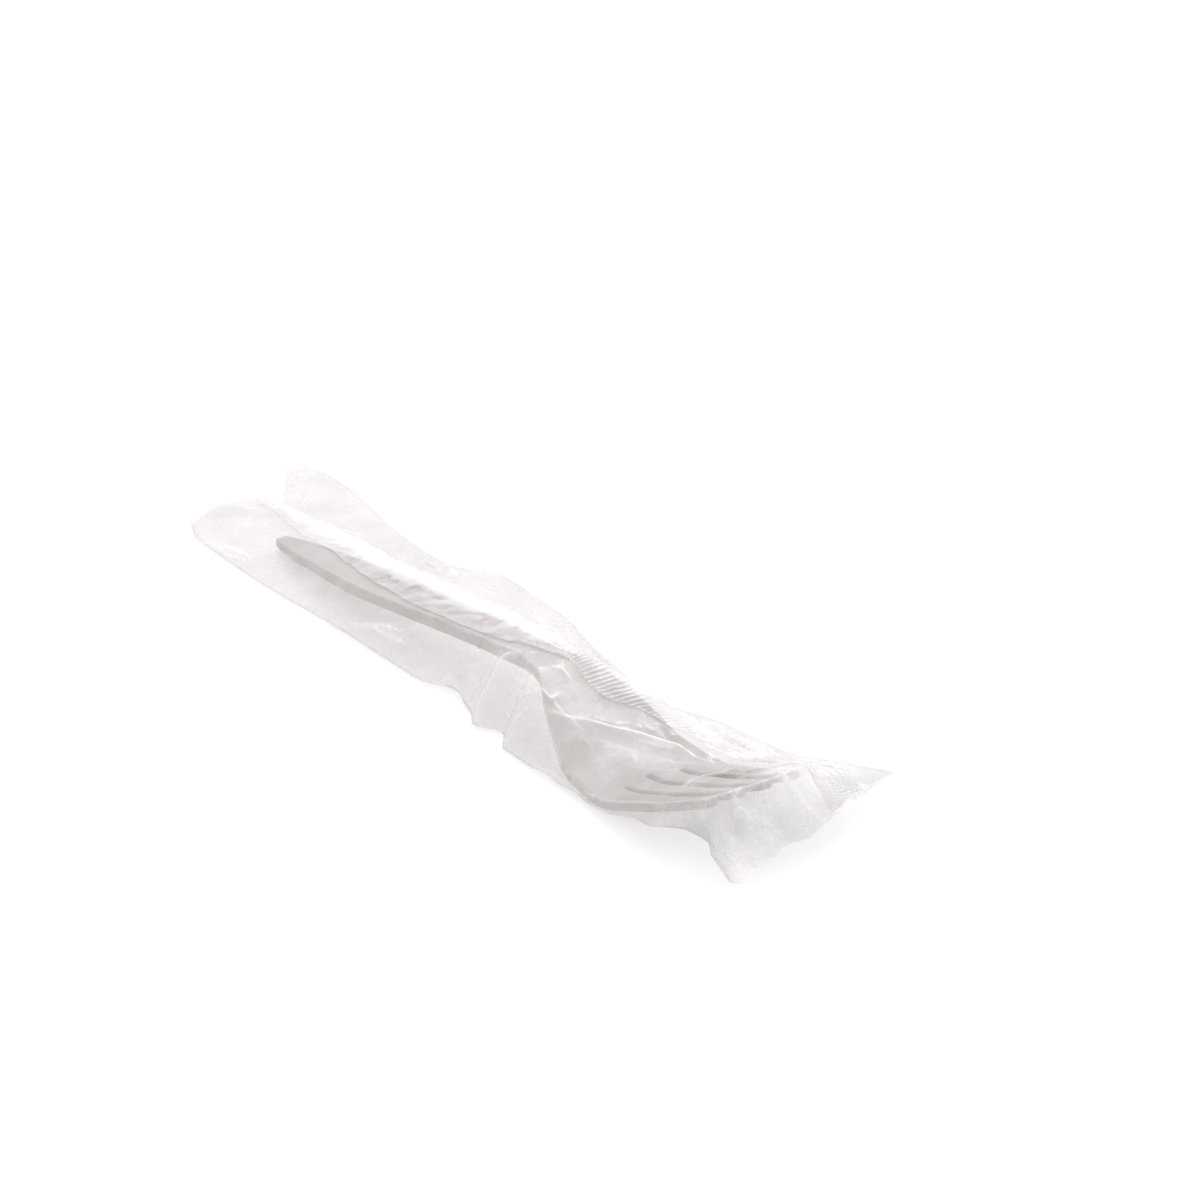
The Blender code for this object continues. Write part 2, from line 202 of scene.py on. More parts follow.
# Random creases: how many, x from and to, share across from and to, their direction in
# degrees from X and its spread, their longest length, and their height.
CRINKLES = (
    (16, -0.107, -0.080, 0.0, 1.0, 20, 90, 0.016, 0.00060),
    (22, -0.082, -0.002, 0.02, 0.26, -6, 12, 0.026, 0.00035),
    (16, -0.010, 0.036, 0.03, 0.32, 30, 70, 0.014, 0.00060),
    (10, 0.020, 0.046, 0.25, 0.75, -40, 50, 0.013, 0.00035),
    (18, 0.044, 0.080, 0.20, 0.85, 30, 30, 0.022, 0.00040),
    (18, 0.076, 0.103, 0.00, 0.60, 40, 80, 0.020, 0.00085),
    (16, 0.070, 0.098, 0.60, 1.00, 35, 30, 0.018, 0.00050),
    (24, -0.085, 0.066, 0.66, 1.00, 8, 24, 0.030, 0.00045),
)
CRINKLE_BEND, CRINKLE_RISE, CRINKLE_WIDTH = 0.3, (0.4, 1.3), (0.0004, 0.0008)
# How strongly the film is crumpled all over: x, then from the near edge, the middle and the far edge.
CRUMPLE_X = (-0.107, -0.085, -0.070, -0.010, 0.005, 0.030, 0.045, 0.070, 0.080, 0.104)
CRUMPLE_NEAR = (1.0, 0.9, 0.25, 0.35, 0.8, 0.6, 0.3, 0.4, 0.6, 0.6)
CRUMPLE_MIDDLE = (1.0, 0.8, 0.15, 0.15, 0.35, 0.45, 0.4, 0.35, 0.6, 0.6)
CRUMPLE_FAR = (1.0, 0.9, 0.6, 0.5, 0.5, 0.6, 0.5, 0.5, 0.6, 0.7)
CRUMPLE_OCTAVES = ((0.0120, 0.00120), (0.0060, 0.00058), (0.0030, 0.00020), (0.0015, 0.00005))
# Cloudier patches of the film: middle x and y, half-lengths, and how much cloudier.
CLOUDS = (
    (-0.094, -0.002, 0.012, 0.016, 0.10), (-0.092, 0.013, 0.012, 0.005, 0.05),
    (-0.074, -0.019, 0.006, 0.002, 0.25), (0.024, -0.015, 0.012, 0.005, 0.20),
    (0.052, -0.011, 0.017, 0.009, 0.27), (0.085, 0.009, 0.009, 0.006, 0.22),
    (0.080, -0.004, 0.003, 0.006, -0.45), (0.088, 0.001, 0.004, 0.005, 0.40),
    (0.092, -0.001, 0.003, 0.004, 0.35),
    (0.088, -0.010, 0.010, 0.010, 0.10), (0.000, 0.010, 0.050, 0.007, 0.06),
    (0.058, 0.009, 0.014, 0.006, 0.12), (0.092, 0.018, 0.008, 0.006, 0.12),
)
# Greyer patches of the film, laid out in the same way.
SHADES = (
    (0.087, -0.015, 0.012, 0.011, 0.50), (0.096, 0.000, 0.006, 0.012, 0.50),
    (0.093, 0.018, 0.009, 0.007, 0.90), (0.071, -0.020, 0.012, 0.006, 0.12),
    (0.030, -0.018, 0.012, 0.005, 0.15), (-0.050, 0.012, 0.020, 0.006, 0.15),
    (0.062, 0.012, 0.010, 0.005, 0.30), (-0.096, -0.012, 0.008, 0.006, 0.20),
)
GENTLE_SIDE = 4.5  # how much wider a crest is on its gentle side
LINE_WIDTH, PAINTED_CREASE_HIGHLIGHT = 0.0003, 0.45  # a painted highlight: the white line along each placed crease
# whitening where the film folds sharply: partly its own whitening, partly painted highlight along the
# folds
FOLD_START, FOLD_FULL, FOLD_WHITENING_AND_HIGHLIGHT = 0.00003, 0.00018, 0.22
CREASE_REACH = 5  # how many crest widths a crease is followed out to
EDGE_FADE = 0.05  # share of the width over which the creases run out at the film's edges
CREASED_OVER_FORK, FREE_HEIGHT = 0.35, 0.002  # share left where the film lies tight on the fork
VENT = (0.0110, -0.0140)
VENT_RADIUS, VENT_RIM_RADIUS = 0.0006, 0.00013
VENT_SEGMENTS, VENT_SIDES, VENT_PROBE, VENT_LIFT = 32, 10, 0.0008, 0.0001


def curve_through(points, x):
    """Smooth curve through (x, value) points that never overshoots them, for one x or an array."""
    px, pv = (np.array(column, float) for column in zip(*points))
    slopes = np.diff(pv) / np.diff(px)
    before, after = slopes[:-1], slopes[1:]
    with np.errstate(divide="ignore", invalid="ignore"):
        inner = np.where(before * after > 0, 2 * before * after / (before + after), 0.0)
    tangents = np.concatenate([slopes[:1], inner, slopes[-1:]])
    x = np.clip(x, px[0], px[-1])
    at = np.clip(np.searchsorted(px, x, side="right") - 1, 0, len(px) - 2)
    span = px[at + 1] - px[at]
    t = (x - px[at]) / span
    return (
        pv[at] * (1 + 2 * t) * (1 - t) ** 2
        + tangents[at] * span * t * (1 - t) ** 2
        + pv[at + 1] * t * t * (3 - 2 * t)
        - tangents[at + 1] * span * t * t * (1 - t)
    )


def smooth(t):
    t = np.clip(t, 0.0, 1.0)
    return t * t * (3 - 2 * t)


def add_object(name, mesh, material=None):
    obj = bpy.data.objects.new(name, mesh)
    bpy.context.scene.collection.objects.link(obj)
    if material:
        mesh.materials.append(material)
    return obj


# ---- fork ----

def slot_line(slot):
    """Centre y of a slot at its root and at the tips, and the x of its root."""
    offset = slot - (TINES - 2) / 2
    return offset * SLOT_ROOT_PITCH, offset * SLOT_TIP_PITCH, SLOT_ROOTS[slot]


def slot_outline(slot):
    """Points of one slot, in from the tips on its low side, round its root and out again."""
    root_y, tip_y, root_x = slot_line(slot)
    points = [(FORK_LENGTH - TINE_ROUND, tip_y - SLOT_TIP_WIDTH / 2)]
    for step in range(SLOT_STEPS + 1):
        turn = -math.pi / 2 - math.pi * step / SLOT_STEPS
        x = root_x + SLOT_ROOT_WIDTH / 2 * (1 + math.cos(turn))
        points.append((x, root_y + SLOT_ROOT_WIDTH / 2 * math.sin(turn)))
    points.append((FORK_LENGTH - TINE_ROUND, tip_y + SLOT_TIP_WIDTH / 2))
    return points


def fork_outline():
    """The fork seen from above, anticlockwise from the handle's tip."""
    low_side = [
        (x, -float(curve_through(FORK_HALF_WIDTH, x)))
        for x in (FORK_LENGTH * step / OUTLINE_STEPS for step in range(OUTLINE_STEPS))
    ]
    last = -float(curve_through(FORK_HALF_WIDTH, FORK_LENGTH))
    low_side.append((FORK_LENGTH - TINE_ROUND, last))
    outline = list(low_side)
    for slot in range(TINES - 1):
        points = slot_outline(slot)
        outline += tine_end(outline[-1][1], points[0][1])
        outline += points
    outline += tine_end(outline[-1][1], -last)
    outline += [(x, -y) for x, y in reversed(low_side)]
    return outline


def tine_end(low, high):
    """A tine's blunt end, rounded at both corners."""
    middle, half = (low + high) / 2, (high - low) / 2
    turns = [math.pi * step / TINE_STEPS for step in range(1, TINE_STEPS)]
    return [
        (FORK_LENGTH - TINE_ROUND * (1 - math.sin(turn)), middle - half * math.cos(turn))
        for turn in turns
    ]


def flat_fork_mesh():
    """A flat plate of the fork's outline with a rounded rim, centred on z = 0."""
    curve = bpy.data.curves.new("fork_outline", "CURVE")
    curve.dimensions = "2D"
    curve.fill_mode = "BOTH"
    curve.extrude = (PLATE_THICKNESS - RIM_RADIUS) / 2
    curve.bevel_depth = RIM_RADIUS / 2
    curve.offset = -RIM_RADIUS / 2
    curve.bevel_resolution = RIM_STEPS
    outline = fork_outline()
    spline = curve.splines.new("POLY")
    spline.points.add(len(outline) - 1)
    for point, (x, y) in zip(spline.points, outline):
        point.co = (x, y, 0, 1)
    spline.use_cyclic_u = True
    guide = add_object("fork_outline", curve)
    graph = bpy.context.evaluated_depsgraph_get()
    mesh = bpy.data.meshes.new_from_object(guide.evaluated_get(graph))
    bpy.data.objects.remove(guide, do_unlink=True)
    return mesh


def slice_plate(plate):
    """Cuts the plate across and along, so that it can bend smoothly."""
    def cut(point, normal):
        geom = plate.verts[:] + plate.edges[:] + plate.faces[:]
        bmesh.ops.bisect_plane(plate, geom=geom, plane_co=point, plane_no=normal, dist=1e-6)

    bmesh.ops.remove_doubles(plate, verts=plate.verts, dist=2e-6)
    bmesh.ops.dissolve_limit(
        plate, angle_limit=math.radians(1), verts=plate.verts, edges=plate.edges
    )
    step_x, step_y = PLATE_CUTS
    for step in range(1, round(FORK_LENGTH / step_x)):
        cut((step * step_x, 0, 0), (1, 0, 0))
    across = math.ceil((FORK_HIGH[1] - FORK_LOW[1]) / 2 / step_y)
    for step in range(-across, across + 1):
        cut((0, step * step_y, 0), (0, 1, 0))


def dish(x, y):
    """How far the recess between the neck and the tines sinks into the top face."""
    start, full, ease, end = DISH_SPAN
    along = smooth((x - start) / (full - start)) * smooth((end - x) / (end - ease))
    across = 1 - smooth((np.abs(y) / curve_through(FORK_HALF_WIDTH, x) - DISH_FLAT) / DISH_BANK)
    return DISH_DEPTH * along * across


def fork_height(x, y, share):
    """Height at a share of the thickness, 0 on the underside and 1 on the top face."""
    thickness = curve_through(FORK_THICKNESS, x) - dish(x, y)
    return curve_through(FORK_UNDERSIDE, x) + share * thickness


def make_fork(material):
    mesh = flat_fork_mesh()
    plate = bmesh.new()
    plate.from_mesh(mesh)
    slice_plate(plate)
    points = np.array([vert.co for vert in plate.verts])
    shares = points[:, 2] / PLATE_THICKNESS + 0.5
    heights = fork_height(points[:, 0], points[:, 1], shares)
    for vert, height in zip(plate.verts, heights):
        vert.co.z = height
    bmesh.ops.recalc_face_normals(plate, faces=plate.faces)
    plate.to_mesh(mesh)
    plate.free()
    mesh.shade_smooth()
    fork = add_object("fork_moulding", mesh, material)
    fork.location = FORK_TIP
    return fork


# ---- film ----

def grid(cells):
    """Shares along and across for a grid of points."""
    return np.linspace(0, 1, cells[0] + 1)[:, None], np.linspace(0, 1, cells[1] + 1)[None, :]


def film_plan(u, v):
    """Plan position of a point a share u along the film and v across it."""
    x = LEFT_MIDDLE + (RIGHT_MIDDLE - LEFT_MIDDLE) * u + end_shift(u, v)
    near = curve_through(NEAR_EDGE, x)
    return x, near + (curve_through(FAR_EDGE, x) - near) * v


def end_shift(u, v):
    """How far along X the cut of each end moves the points near it."""
    left = (np.interp(v, *zip(*LEFT_END)) - LEFT_MIDDLE) * np.maximum(1 - u / END_REACH, 0) ** 2
    right = np.interp(v, *zip(*RIGHT_END)) - RIGHT_MIDDLE
    return left + right * np.maximum(1 - (1 - u) / END_REACH, 0) ** 2


def film_shares(x, y):
    """The shares along and across at a plan position."""
    near = curve_through(NEAR_EDGE, x)
    v = np.clip((y - near) / (curve_through(FAR_EDGE, x) - near), 0, 1)
    length = RIGHT_MIDDLE - LEFT_MIDDLE
    u = np.clip((x - LEFT_MIDDLE) / length, 0, 1)
    for _ in range(SHARE_ROUNDS):
        u = np.clip((x - end_shift(u, v) - LEFT_MIDDLE) / length, 0, 1)
    return u, v


def sample(values, u, v):
    """Values of a grid between its points."""
    row = u * (values.shape[0] - 1)
    column = v * (values.shape[1] - 1)
    r = np.clip(row.astype(int), 0, values.shape[0] - 2)
    c = np.clip(column.astype(int), 0, values.shape[1] - 2)
    s, t = row - r, column - c
    low = values[r, c] * (1 - t) + values[r, c + 1] * t
    high = values[r + 1, c] * (1 - t) + values[r + 1, c + 1] * t
    return low * (1 - s) + high * s


def film_floor(x, v):
    """Height at which the film's edges and its underside lie."""
    return FILM_REST + curve_through(NEAR_LIFT, x) * (1 - v) + curve_through(FAR_LIFT, x) * v


def fork_support(x, y):
    """Lowest height that the film over the fork can have, with a steep fall beside the fork."""
    along = x - FORK_TIP[0]
    clamped = np.clip(along, 0, FORK_LENGTH)
    beside = np.abs(y - FORK_TIP[1]) - curve_through(FORK_HALF_WIDTH, clamped)
    outside = np.hypot(np.maximum(beside, 0), along - clamped)
    top = FORK_TIP[2] + fork_height(clamped, 1.0, 1.0) + FILM_GAP
    return top - FALL_SLOPE * np.maximum(outside - FILM_GAP, 0)


def fork_clearance(x, y):
    """Highest height that the film under the fork can have."""
    along = np.clip(x - FORK_TIP[0], 0, FORK_LENGTH)
    beside = np.abs(y - FORK_TIP[1]) - curve_through(FORK_HALF_WIDTH, along)
    under = FORK_TIP[2] + curve_through(FORK_UNDERSIDE, along) - FILM_GAP
    return np.where(beside < FORK_MARGIN, under, np.inf)


def stretch(z, support, fixed, rounds):
    """Relaxes a membrane down onto its support, with its fixed points kept."""
    start = z.copy()
    for _ in range(rounds):
        mean = z.copy()
        mean[1:-1, 1:-1] = (
            z[:-2, 1:-1] + z[2:, 1:-1] + z[1:-1, :-2] + z[1:-1, 2:]
        ) / 4
        z = np.maximum(mean, support)
        z[fixed] = start[fixed]
    return z


def rim(values):
    """True at the outer points of a grid."""
    edge = np.zeros(values.shape, bool)
    edge[:, 0] = edge[:, -1] = edge[0, :] = edge[-1, :] = True
    return edge


def taut_height():
    """Height of the film pulled taut over the fork, and the lowest height it can have there."""
    z = None
    for cells, rounds in ((COARSE_CELLS, COARSE_ROUNDS), (TOP_CELLS, TOP_ROUNDS)):
        u, v = grid(cells)
        x, y = film_plan(u, v)
        floor = film_floor(x, v) + TUBE_RISE
        support = np.maximum(fork_support(x, y), floor)
        start = support if z is None else sample(z, u + 0 * v, v + 0 * u)
        z = stretch(np.where(rim(x), floor, start), support, rim(x), rounds)
    return z, support


def crest(x, y, path, width, gentle):
    """1 along a crease's line, falling to its ends and sharply to one side.

    It falls more gently on its left for gentle = 1 and on its right for -1. Both fall alike for 0.
    """
    nearest = np.full(x.shape, np.inf)
    along = np.zeros(x.shape)
    side = np.zeros(x.shape)
    done = 0.0
    for (ax, ay), (bx, by) in zip(path, path[1:]):
        run = math.hypot(bx - ax, by - ay)
        t = np.clip(((x - ax) * (bx - ax) + (y - ay) * (by - ay)) / run ** 2, 0, 1)
        away = np.hypot(x - ax - t * (bx - ax), y - ay - t * (by - ay))
        closer = away < nearest
        along = np.where(closer, done + t * run, along)
        side = np.where(closer, (bx - ax) * (y - ay) - (by - ay) * (x - ax), side)
        nearest = np.minimum(nearest, away)
        done += run
    spread = np.where(side * gentle > 0, width * GENTLE_SIDE, width)
    return np.sin(np.pi * np.clip(along / done, 0, 1)) * np.exp(-nearest / spread)


def random_creases():
    """Short creases scattered over the film, as CREASES describes the others."""
    for count, x0, x1, v0, v1, angle, spread, longest, height in CRINKLES:
        for _ in range(count):
            x = RNG.uniform(x0, x1)
            v = RNG.uniform(v0, v1)
            near, far = curve_through(NEAR_EDGE, x), curve_through(FAR_EDGE, x)
            y = near + (far - near) * v
            turn = math.radians(angle + spread * RNG.uniform(-1, 1))
            half = longest * RNG.uniform(0.25, 0.5)
            bend = half * RNG.uniform(-CRINKLE_BEND, CRINKLE_BEND)
            dx, dy = half * math.cos(turn), half * math.sin(turn)
            middle = (x - bend * math.sin(turn), y + bend * math.cos(turn))
            path = ((x - dx, y - dy), middle, (x + dx, y + dy))
            rise = height * RNG.choice((1, 1, -1)) * RNG.uniform(*CRINKLE_RISE)
            yield path, rise, RNG.uniform(*CRINKLE_WIDTH)


def lattice_noise(x, y, pitch):
    """Smooth random values from -1 to 1 with the given distance between them."""
    turn = RNG.uniform(0, math.pi)
    p = (x * math.cos(turn) + y * math.sin(turn)) / pitch
    q = (y * math.cos(turn) - x * math.sin(turn)) / pitch
    p, q = p - p.min(), q - q.min()
    i, j = p.astype(int), q.astype(int)
    values = RNG.uniform(-1, 1, (i.max() + 2, j.max() + 2))
    s, t = smooth(p - i), smooth(q - j)
    low = values[i, j] * (1 - t) + values[i, j + 1] * t
    high = values[i + 1, j] * (1 - t) + values[i + 1, j + 1] * t
    return low * (1 - s) + high * s


def crushed(x, y, octaves):
    """Height of crushed film: facets that meet in sharp valleys and crests at every size."""
    total = np.zeros(x.shape)
    for pitch, size in octaves:
        folds = np.abs(lattice_noise(x, y, pitch)) - np.abs(lattice_noise(x, y, pitch))
        total += size * folds
    return total


def crumple_strength(x, v):
    """How strongly the film is crumpled, from the strengths along its edges and its middle."""
    near, middle, far = (
        np.interp(x, CRUMPLE_X, row) for row in (CRUMPLE_NEAR, CRUMPLE_MIDDLE, CRUMPLE_FAR)
    )
    side = np.clip(2 * v - 1, -1, 1)
    return middle * (1 - np.abs(side)) + near * np.maximum(-side, 0) + far * np.maximum(side, 0)


def crumple(x, y, v):
    """Height that all the creases add, and the painted highlight line along each long one."""
    height = np.zeros(x.shape)
    highlight_lines = np.zeros(x.shape)
    for number, (path, rise, width) in enumerate([*CREASES, *random_creases()]):
        gentle = 1 if number % 2 else -1
        xs, _ = zip(*path)
        reach = CREASE_REACH * width * GENTLE_SIDE
        rows = np.flatnonzero(
            (x.max(axis=1) > min(xs) - reach) & (x.min(axis=1) < max(xs) + reach)
        )
        if not len(rows):
            continue
        part = slice(rows[0], rows[-1] + 1)
        height[part] += rise * crest(x[part], y[part], path, width, gentle)
        if number < len(CREASES):
            # painted highlight: a thin white line along the crease's crest
            line = crest(x[part], y[part], path, LINE_WIDTH, 0)
            highlight_lines[part] = np.maximum(highlight_lines[part], line)
    height += crumple_strength(x, v) * crushed(x, y, CRUMPLE_OCTAVES)
    return height * smooth(np.minimum(v, 1 - v) / EDGE_FADE), highlight_lines


def fold_lines(z):
    """How sharply the film folds at each point, as it whitens there, partly its own whitening and
    partly painted highlight: 0 where it is flat.
    """
    padded = np.pad(z, 1, mode="edge")
    along = np.abs(padded[:-2, 1:-1] + padded[2:, 1:-1] - 2 * z)
    across = np.abs(padded[1:-1, :-2] + padded[1:-1, 2:] - 2 * z)
    return np.clip((along + across - FOLD_START) / FOLD_FULL, 0, 1)


def seal_ridges(x, v):
    """How much of the end seals is at each point, and the fine ridges pressed into them."""
    left = np.interp(v, *zip(*LEFT_END))
    right = np.interp(v, *zip(*RIGHT_END))
    inside = np.minimum(x - left, right - x)
    share = smooth((SEAL_WIDTH - inside) / SEAL_FADE)
    return share, SEAL_RIDGE * share * np.sin(2 * np.pi * inside / SEAL_PITCH)


def patches(x, y, places):
    """Soft patches added together: 0 outside them."""
    total = np.zeros(x.shape)
    for cx, cy, rx, ry, amount in places:
        total += amount * np.exp(-((x - cx) / rx) ** 2 - ((y - cy) / ry) ** 2)
    return total


def grid_faces(rows, columns):
    index = np.arange(rows * columns).reshape(rows, columns)
    return np.stack(
        [index[:-1, :-1], index[1:, :-1], index[1:, 1:], index[:-1, 1:]], axis=-1
    ).reshape(-1, 4)


def film_mesh(name, points, faces, haze, shade):
    """A smooth mesh of quads that carries how cloudy and how grey the film is at each point, the
    cloudiness with any painted highlights in it.
    """
    used = np.unique(faces)
    renumber = np.full(len(points), -1)
    renumber[used] = np.arange(len(used))
    mesh = bpy.data.meshes.new(name)
    mesh.from_pydata(points[used].tolist(), [], renumber[faces].tolist())
    mesh.attributes.new("haze", "FLOAT", "POINT").data.foreach_set("value", haze[used])
    mesh.attributes.new("shade", "FLOAT", "POINT").data.foreach_set("value", shade[used])
    mesh.update()
    mesh.shade_smooth()
    return mesh


def stacked(x, y, z):
    return np.stack([x, y, z], axis=-1).reshape(-1, 3)


def tube_top(x, y, v):
    """Height and cloudiness of the tube's crumpled top, with painted highlight partly along its folds
    and along its placed creases.
    """
    z, support = taut_height()
    bumps, highlight_lines = crumple(x, y, v)
    sealed, ridges = seal_ridges(x, v)
    free = smooth((z - support) / FREE_HEIGHT)
    raised = CREASED_OVER_FORK + (1 - CREASED_OVER_FORK) * free
    bumps = np.where(bumps < 0, bumps * free, bumps * raised)
    z = np.maximum(z + bumps * (1 - sealed / 2), support - FILM_GAP / 2) + ridges
    z = np.maximum(z, film_floor(x, v) + LEAST_RISE)
    # the whitening of sharp folds here is partly painted highlight
    haze = patches(x, y, CLOUDS) + FOLD_WHITENING_AND_HIGHLIGHT * fold_lines(z) + SEAL_HAZE * sealed
    # painted highlight: white lines along the placed creases, added to the cloudiness
    return z, haze + PAINTED_CREASE_HIGHLIGHT * highlight_lines


def tube_underside(u):
    """Points of the tube's underside, without the two edges that it shares with the top."""
    v = np.linspace(0, 1, UNDER_CELLS_ACROSS + 1)[None, 1:-1]
    x, y = film_plan(u, v)
    z = film_floor(x, v) - TUBE_DEPTH + UNDER_SEAL_SHARE * seal_ridges(x, v)[1]
    return x, y, np.minimum(z, fork_clearance(x, y))


def underside_faces(rows, columns, inner):
    """Faces that join the underside's points to each other and to both edges of the top."""
    top = np.arange(rows * columns).reshape(rows, columns)
    below = np.arange(rows * inner).reshape(rows, inner) + rows * columns
    loop = np.concatenate([top[:, :1], below, top[:, -1:]], axis=1)
    return np.stack(
        [loop[:-1, 1:], loop[1:, 1:], loop[1:, :-1], loop[:-1, :-1]], axis=-1
    ).reshape(-1, 4)


def make_tube(material):
    """The film's tube: its crumpled top and its flat underside, joined along both long edges."""
    u, v = grid(TOP_CELLS)
    x, y = film_plan(u, v)
    z, haze = tube_top(x, y, v)
    ux, uy, uz = tube_underside(u)
    points = np.concatenate([stacked(x, y, z), stacked(ux, uy, uz)])
    top_faces = grid_faces(*x.shape)
    middle = points[top_faces, :2].mean(axis=1)
    clear = np.hypot(*(middle - VENT).T) > VENT_RADIUS
    faces = np.concatenate([top_faces[clear], underside_faces(*x.shape, ux.shape[1])])
    haze = np.concatenate([haze.ravel(), np.zeros(ux.size)])
    shade = np.concatenate([patches(x, y, SHADES).ravel(), patches(ux, uy, SHADES).ravel()])
    tube = add_object("film_tube", film_mesh("film_tube", points, faces, haze, shade), material)
    return tube, z


def highest_near(z):
    """Each point's height, or a neighbour's where that is higher."""
    padded = np.pad(z, 1, mode="edge")
    rows, columns = z.shape
    return np.max(
        [padded[i:i + rows, j:j + columns] for i in range(3) for j in range(3)], axis=0
    )


def wander(x, pitch, size):
    """A smooth random line of the given size, with a new value every pitch."""
    steps = int((x.max() - x.min()) / pitch) + 3
    at = x.min() + pitch * (np.arange(steps) - 0.5)
    return curve_through(list(zip(at, RNG.uniform(-size, size, steps))), x)


def soften(z, rounds):
    for _ in range(rounds):
        padded = np.pad(z, 1, mode="edge")
        z = (padded[:-2, 1:-1] + padded[2:, 1:-1] + padded[1:-1, :-2] + padded[1:-1, 2:]) / 4
    return z


def fin_ridges(x, v):
    """Ridges across the seam, near its root."""
    depth = np.interp(x, *zip(*FIN_RIDGES))
    rise, (fall_from, fall_over) = FIN_RIDGE_RISE, FIN_RIDGE_FALL
    root_side = smooth(v / rise) * (1 - smooth((v - fall_from) / fall_over))
    return depth * root_side * np.sin(2 * np.pi * x / FIN_RIDGE_PITCH)


def knurl(x, y):
    """Pressed dots where the seam runs through the end seal, and how strongly they show."""
    start, end = KNURL_SPAN
    inside = smooth((x - start) / KNURL_EASE) * smooth((end - x) / KNURL_EASE)
    dots = np.sin(2 * np.pi * (x + y) / KNURL_PITCH) * np.sin(2 * np.pi * (x - y) / KNURL_PITCH)
    return KNURL_HEIGHT * inside * dots, KNURL_HAZE * inside * np.maximum(dots, 0) ** 2


def fin_haze(x, y, v):
    """How cloudy the seam is: clearer at its root, in gaps beside it, and at its free edge."""
    root = FIN_ROOT_HAZE + (1 - FIN_ROOT_HAZE) * smooth((v - 0.15) / 0.35)
    free_edge = 1 - 0.6 * smooth((v - 0.8) / 0.2)
    gaps = smooth((lattice_noise(x, y, FIN_GAP_PITCH) - 0.1) / 0.4)
    gaps *= 1 - smooth((v - 0.35) / 0.2)
    return np.interp(x, *zip(*FIN_HAZE)) * root * free_edge * (1 - 0.8 * gaps)


def fin_plan(u, v):
    """Plan position of a point a share u along the seam and v from its root to its free edge."""
    start, end = FIN_NEAR[0][0], FIN_NEAR[-1][0]
    x = start + (end - start) * u
    near = curve_through(FIN_NEAR, x) + wander(x, *FIN_ROOT_WANDER)
    far = curve_through(FIN_FAR, x) + wander(x, *FIN_EDGE_WANDER)
    return x - FIN_LEAN * smooth((x - FIN_LEAN_FROM) / FIN_LEAN_OVER) * v, near + (far - near) * v


def make_fin(tube_height, material):
    """The ridged back seam, folded flat onto the tube and free along its far edge."""
    u, v = grid(FIN_CELLS)
    x, y = fin_plan(u, v)
    z = soften(sample(highest_near(tube_height), *film_shares(x, y)), FIN_SOFTENING)
    waves = sum(
        FIN_WAVE_SIZE * np.sin(2 * np.pi * (x / pitch + RNG.uniform())) * v for pitch in FIN_WAVES
    )
    dots, dot_haze = knurl(x, y)
    creased = smooth((x - FIN_CREASED_FROM) / FIN_CREASED_OVER)
    creased = FIN_LEAST_CREASED + (1 - FIN_LEAST_CREASED) * creased
    folds = np.maximum(crushed(x, y, FIN_OCTAVES) * creased, -FIN_GAP / 2)
    ridges = fin_ridges(x, v)
    z = z + FIN_GAP + FIN_EDGE_LIFT * v + ridges + waves + dots + folds
    haze = fin_haze(x, y, v) + dot_haze + RIDGE_HAZE * np.maximum(ridges, 0) / FIN_RIDGE_DEPTH
    shade = patches(x, y, SHADES)
    mesh = film_mesh(
        "fin_seal", stacked(x, y, z), grid_faces(*x.shape), haze.ravel(), shade.ravel()
    )
    return add_object("fin_seal", mesh, material)


def make_vent(tube_height, material):
    """The melted rim of the pinhole that lets air out of the pack."""
    def height(dx, dy):
        x, y = np.array([[VENT[0] + dx]]), np.array([[VENT[1] + dy]])
        return float(sample(tube_height, *film_shares(x, y)).item())

    bpy.ops.mesh.primitive_torus_add(
        major_segments=VENT_SEGMENTS, minor_segments=VENT_SIDES, major_radius=VENT_RADIUS,
        minor_radius=VENT_RIM_RADIUS, location=(0, 0, 0),
    )
    vent = bpy.context.object
    vent.name = vent.data.name = "vent_rim"
    step = VENT_PROBE
    slope_x = height(-step, 0) - height(step, 0)
    slope_y = height(0, -step) - height(0, step)
    normal = Vector((slope_x, slope_y, 2 * step))
    vent.rotation_euler = normal.to_track_quat("Z", "Y").to_euler()
    vent.location = (*VENT, height(0, 0) + VENT_LIFT)
    vent.data.materials.append(material)
    vent.data.shade_smooth()
    return vent


# ---- materials ----

FORK_DARK, FORK_PALE = (0.50, 0.474, 0.456, 1), (0.56, 0.535, 0.518, 1)
FORK_ROUGHNESS = (0.34, 0.46)
FILM_TINT, SEAL_TINT = (0.955, 0.940, 0.944, 1), (0.955, 0.945, 0.945, 1)
GREY_TINT = (0.86, 0.862, 0.856, 1)
MILK_PALE, MILK_GREY = (0.90, 0.868, 0.876, 1), (0.66, 0.655, 0.65, 1)
CLEAR_MILK, FILM_EDGE_MILK, SEAL_EDGE_MILK = 0.06, 0.17, 0.35  # face on, and edge on
GLOSS_FACING, GLOSS_GLANCING = 0.04, 0.2


def node_material(name):
    material = bpy.data.materials.new(name)
    material.use_nodes = True
    return material, material.node_tree


def object_place(tree):
    return tree.nodes.new("ShaderNodeTexCoord").outputs["Object"]


def attribute(tree, name):
    node = tree.nodes.new("ShaderNodeAttribute")
    node.attribute_name = name
    return node.outputs["Fac"]


def noise(tree, place, scale, detail):
    """Procedural noise, from 0 to 1, at a scale given in waves for each metre."""
    node = tree.nodes.new("ShaderNodeTexNoise")
    node.inputs["Scale"].default_value = scale
    node.inputs["Detail"].default_value = detail
    tree.links.new(place, node.inputs["Vector"])
    return node.outputs["Fac"]


